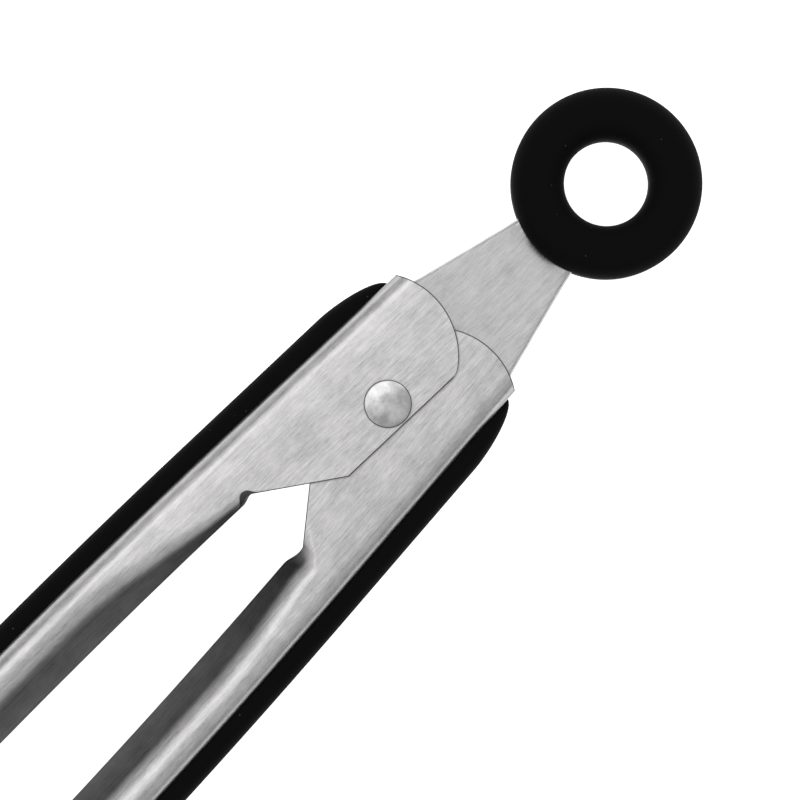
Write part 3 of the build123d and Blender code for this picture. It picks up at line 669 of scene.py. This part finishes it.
def spring_half(name, top):
    """A tube along half the coil, a helix, and then along the tangent to the leg's end. The upper half
    presses on the outer arm and the lower one, its mirror in y and z, on the inner arm."""
    back = (BACK - SHEET) / math.cos(SLOPE) + LEG_REACH * math.tan(SLOPE)
    end_y = back - WIRE / 2 - LEG_PLAY
    far = math.hypot(LEG_REACH, end_y)
    leave = math.pi / 2 - (math.asin(end_y / far) - math.asin(COIL_RADIUS / far))
    height = COIL_TURNS * COIL_PITCH / 2
    sweep = math.pi * COIL_TURNS + leave
    turn = np.linspace(0, sweep, 150)
    points = np.column_stack([
        COIL_RADIUS * np.cos(turn), COIL_RADIUS * np.sin(turn), height * turn / sweep
    ])
    tangent = np.array([-math.sin(sweep), math.cos(sweep), 0.0])
    run = math.sqrt(far**2 - COIL_RADIUS**2)
    leg = points[-1] + tangent * np.linspace(0, run, 40)[1:, None]
    points = np.vstack([points, leg])
    if not top:
        points = points * np.array([1, -1, -1])
    ahead = np.gradient(points, axis=0)
    ahead = ahead / np.linalg.norm(ahead, axis=1)[:, None]
    side = np.cross(ahead, [0, 0, 1.0])
    side = side / np.linalg.norm(side, axis=1)[:, None]
    over = np.cross(side, ahead)
    angle = np.linspace(0, 2 * math.pi, 14, endpoint=False)
    grid = points[:, None, :] + WIRE / 2 * (
        np.cos(angle)[None, :, None] * side[:, None, :] + np.sin(angle)[None, :, None] * over[:, None, :]
    )
    return grid_piece(name, grid, wrap=(False, True), caps=True)


wire, tree, sockets = material("hard drawn stainless wire", Metallic=1.0)
# Drawn through a die: a slightly soapy bright surface with long faint streaks.
place = add(tree, "ShaderNodeTexCoord").outputs["Object"]
drawn = add(tree, "ShaderNodeTexNoise", {"Vector": place, "Scale": 1 / (0.8 * MM), "Detail": 3.0})
tint = add(tree, "ShaderNodeValToRGB", {"Fac": drawn.outputs["Fac"]})
tint.color_ramp.elements[0].color, tint.color_ramp.elements[1].color = srgb("A9A8A8"), srgb("D2D1D1")
worn = add(tree, "ShaderNodeMapRange", {"Value": drawn.outputs["Fac"], "To Min": 0.22, "To Max": 0.38})
tree.links.new(tint.outputs["Color"], sockets["Base Color"])
tree.links.new(worn.outputs[0], sockets["Roughness"])

for name, body, top in (("spring_outer_leg", "outer_half", True), ("spring_inner_leg", "inner_half", False)):
    half = spring_half(name, top)
    half.data.materials.append(wire)
    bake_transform(half)
    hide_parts("torsion_spring")

# ------------------------------------------------------------------ table, light and camera
# The tongs lie closed on their side on a white laminate top, in a pale room under one wide soft
# panel, and are seen from straight above with the handles running down to the left.
CAMERA_HEIGHT = 747.5  # above the middle of the rivet
VIEW_ACROSS = 142.4  # what the view takes in at that height
VIEW_TURN = math.radians(46.3)
AIM = (1.97, -1.10)
SENSOR = 36.0
TABLE = 3.0
# the room's brightness from one side, over the top, to the other: a broad overhead strip with dark walls
CEILING = (
    (0.06, 0.5), (0.2, 0.52), (0.3, 0.54), (0.43, 0.62),
    (0.6, 0.85), (0.7, 0.77), (0.85, 0.58), (0.97, 0.33),
)

camera_data = bpy.data.cameras.new("camera")
camera_data.sensor_width = SENSOR
camera_data.lens = SENSOR * CAMERA_HEIGHT / VIEW_ACROSS
camera_data.clip_start, camera_data.clip_end = 0.05, 10.0
camera = bpy.data.objects.new("camera", camera_data)
bpy.context.scene.collection.objects.link(camera)
camera.location = HINGE + np.array([*AIM, CAMERA_HEIGHT]) * MM
camera.rotation_euler = (0, 0, -VIEW_TURN)
bpy.context.scene.camera = camera
bpy.context.scene.view_settings.view_transform = "Standard"

table_mesh = bpy.data.meshes.new("table")
corners = [(-TABLE, -TABLE, 0), (TABLE, -TABLE, 0), (TABLE, TABLE, 0), (-TABLE, TABLE, 0)]
table_mesh.from_pydata(corners, [], [(0, 1, 2, 3)])
table = bpy.data.objects.new("table", table_mesh)
bpy.context.scene.collection.objects.link(table)
white, tree, sockets = material("white laminate", Roughness=0.9, Emission_Strength=0.8)
sockets["Base Color"].default_value = srgb("F2F2F2")
sockets["Emission Color"].default_value = srgb("FFFFFF")
table_mesh.materials.append(white)

world = bpy.data.worlds.new("pale room")
bpy.context.scene.world = world
world.use_nodes = True
sky = world.node_tree
direction = add(sky, "ShaderNodeTexCoord").outputs["Generated"]
toward = add(sky, "ShaderNodeSeparateXYZ", {0: direction}).outputs
side = add(sky, "ShaderNodeMapRange", {"Value": toward["Y"], "From Min": -1.0, "From Max": 1.0})
ceiling = add(sky, "ShaderNodeValToRGB", {"Fac": side.outputs[0]})
for position, level in CEILING:
    stop = ceiling.color_ramp.elements.new(position)
    stop.color = (level, level, level * 1.01, 1.0)
height = add(sky, "ShaderNodeMapRange", {"Value": toward["Z"], "From Max": 0.35, "To Min": 0.08})
window = {"Value": toward["X"], "From Max": 0.7, "To Min": 1.0, "To Max": 1.45}
window = add(sky, "ShaderNodeMapRange", window)
level = add(sky, "ShaderNodeMath", {0: height.outputs[0], 1: window.outputs[0]}, operation="MULTIPLY")
sky.links.new(ceiling.outputs["Color"], sky.nodes["Background"].inputs["Color"])
sky.links.new(level.outputs[0], sky.nodes["Background"].inputs["Strength"])

panel_data = bpy.data.lights.new("soft panel", "AREA")
panel_data.shape = "RECTANGLE"
panel_data.size, panel_data.size_y = 1.2, 0.7
panel_data.energy = 2.0
panel = bpy.data.objects.new("soft panel", panel_data)
bpy.context.scene.collection.objects.link(panel)
panel.location = (0.1, 0.55, 1.4)
panel.rotation_euler = (-math.radians(21), 0, 0)
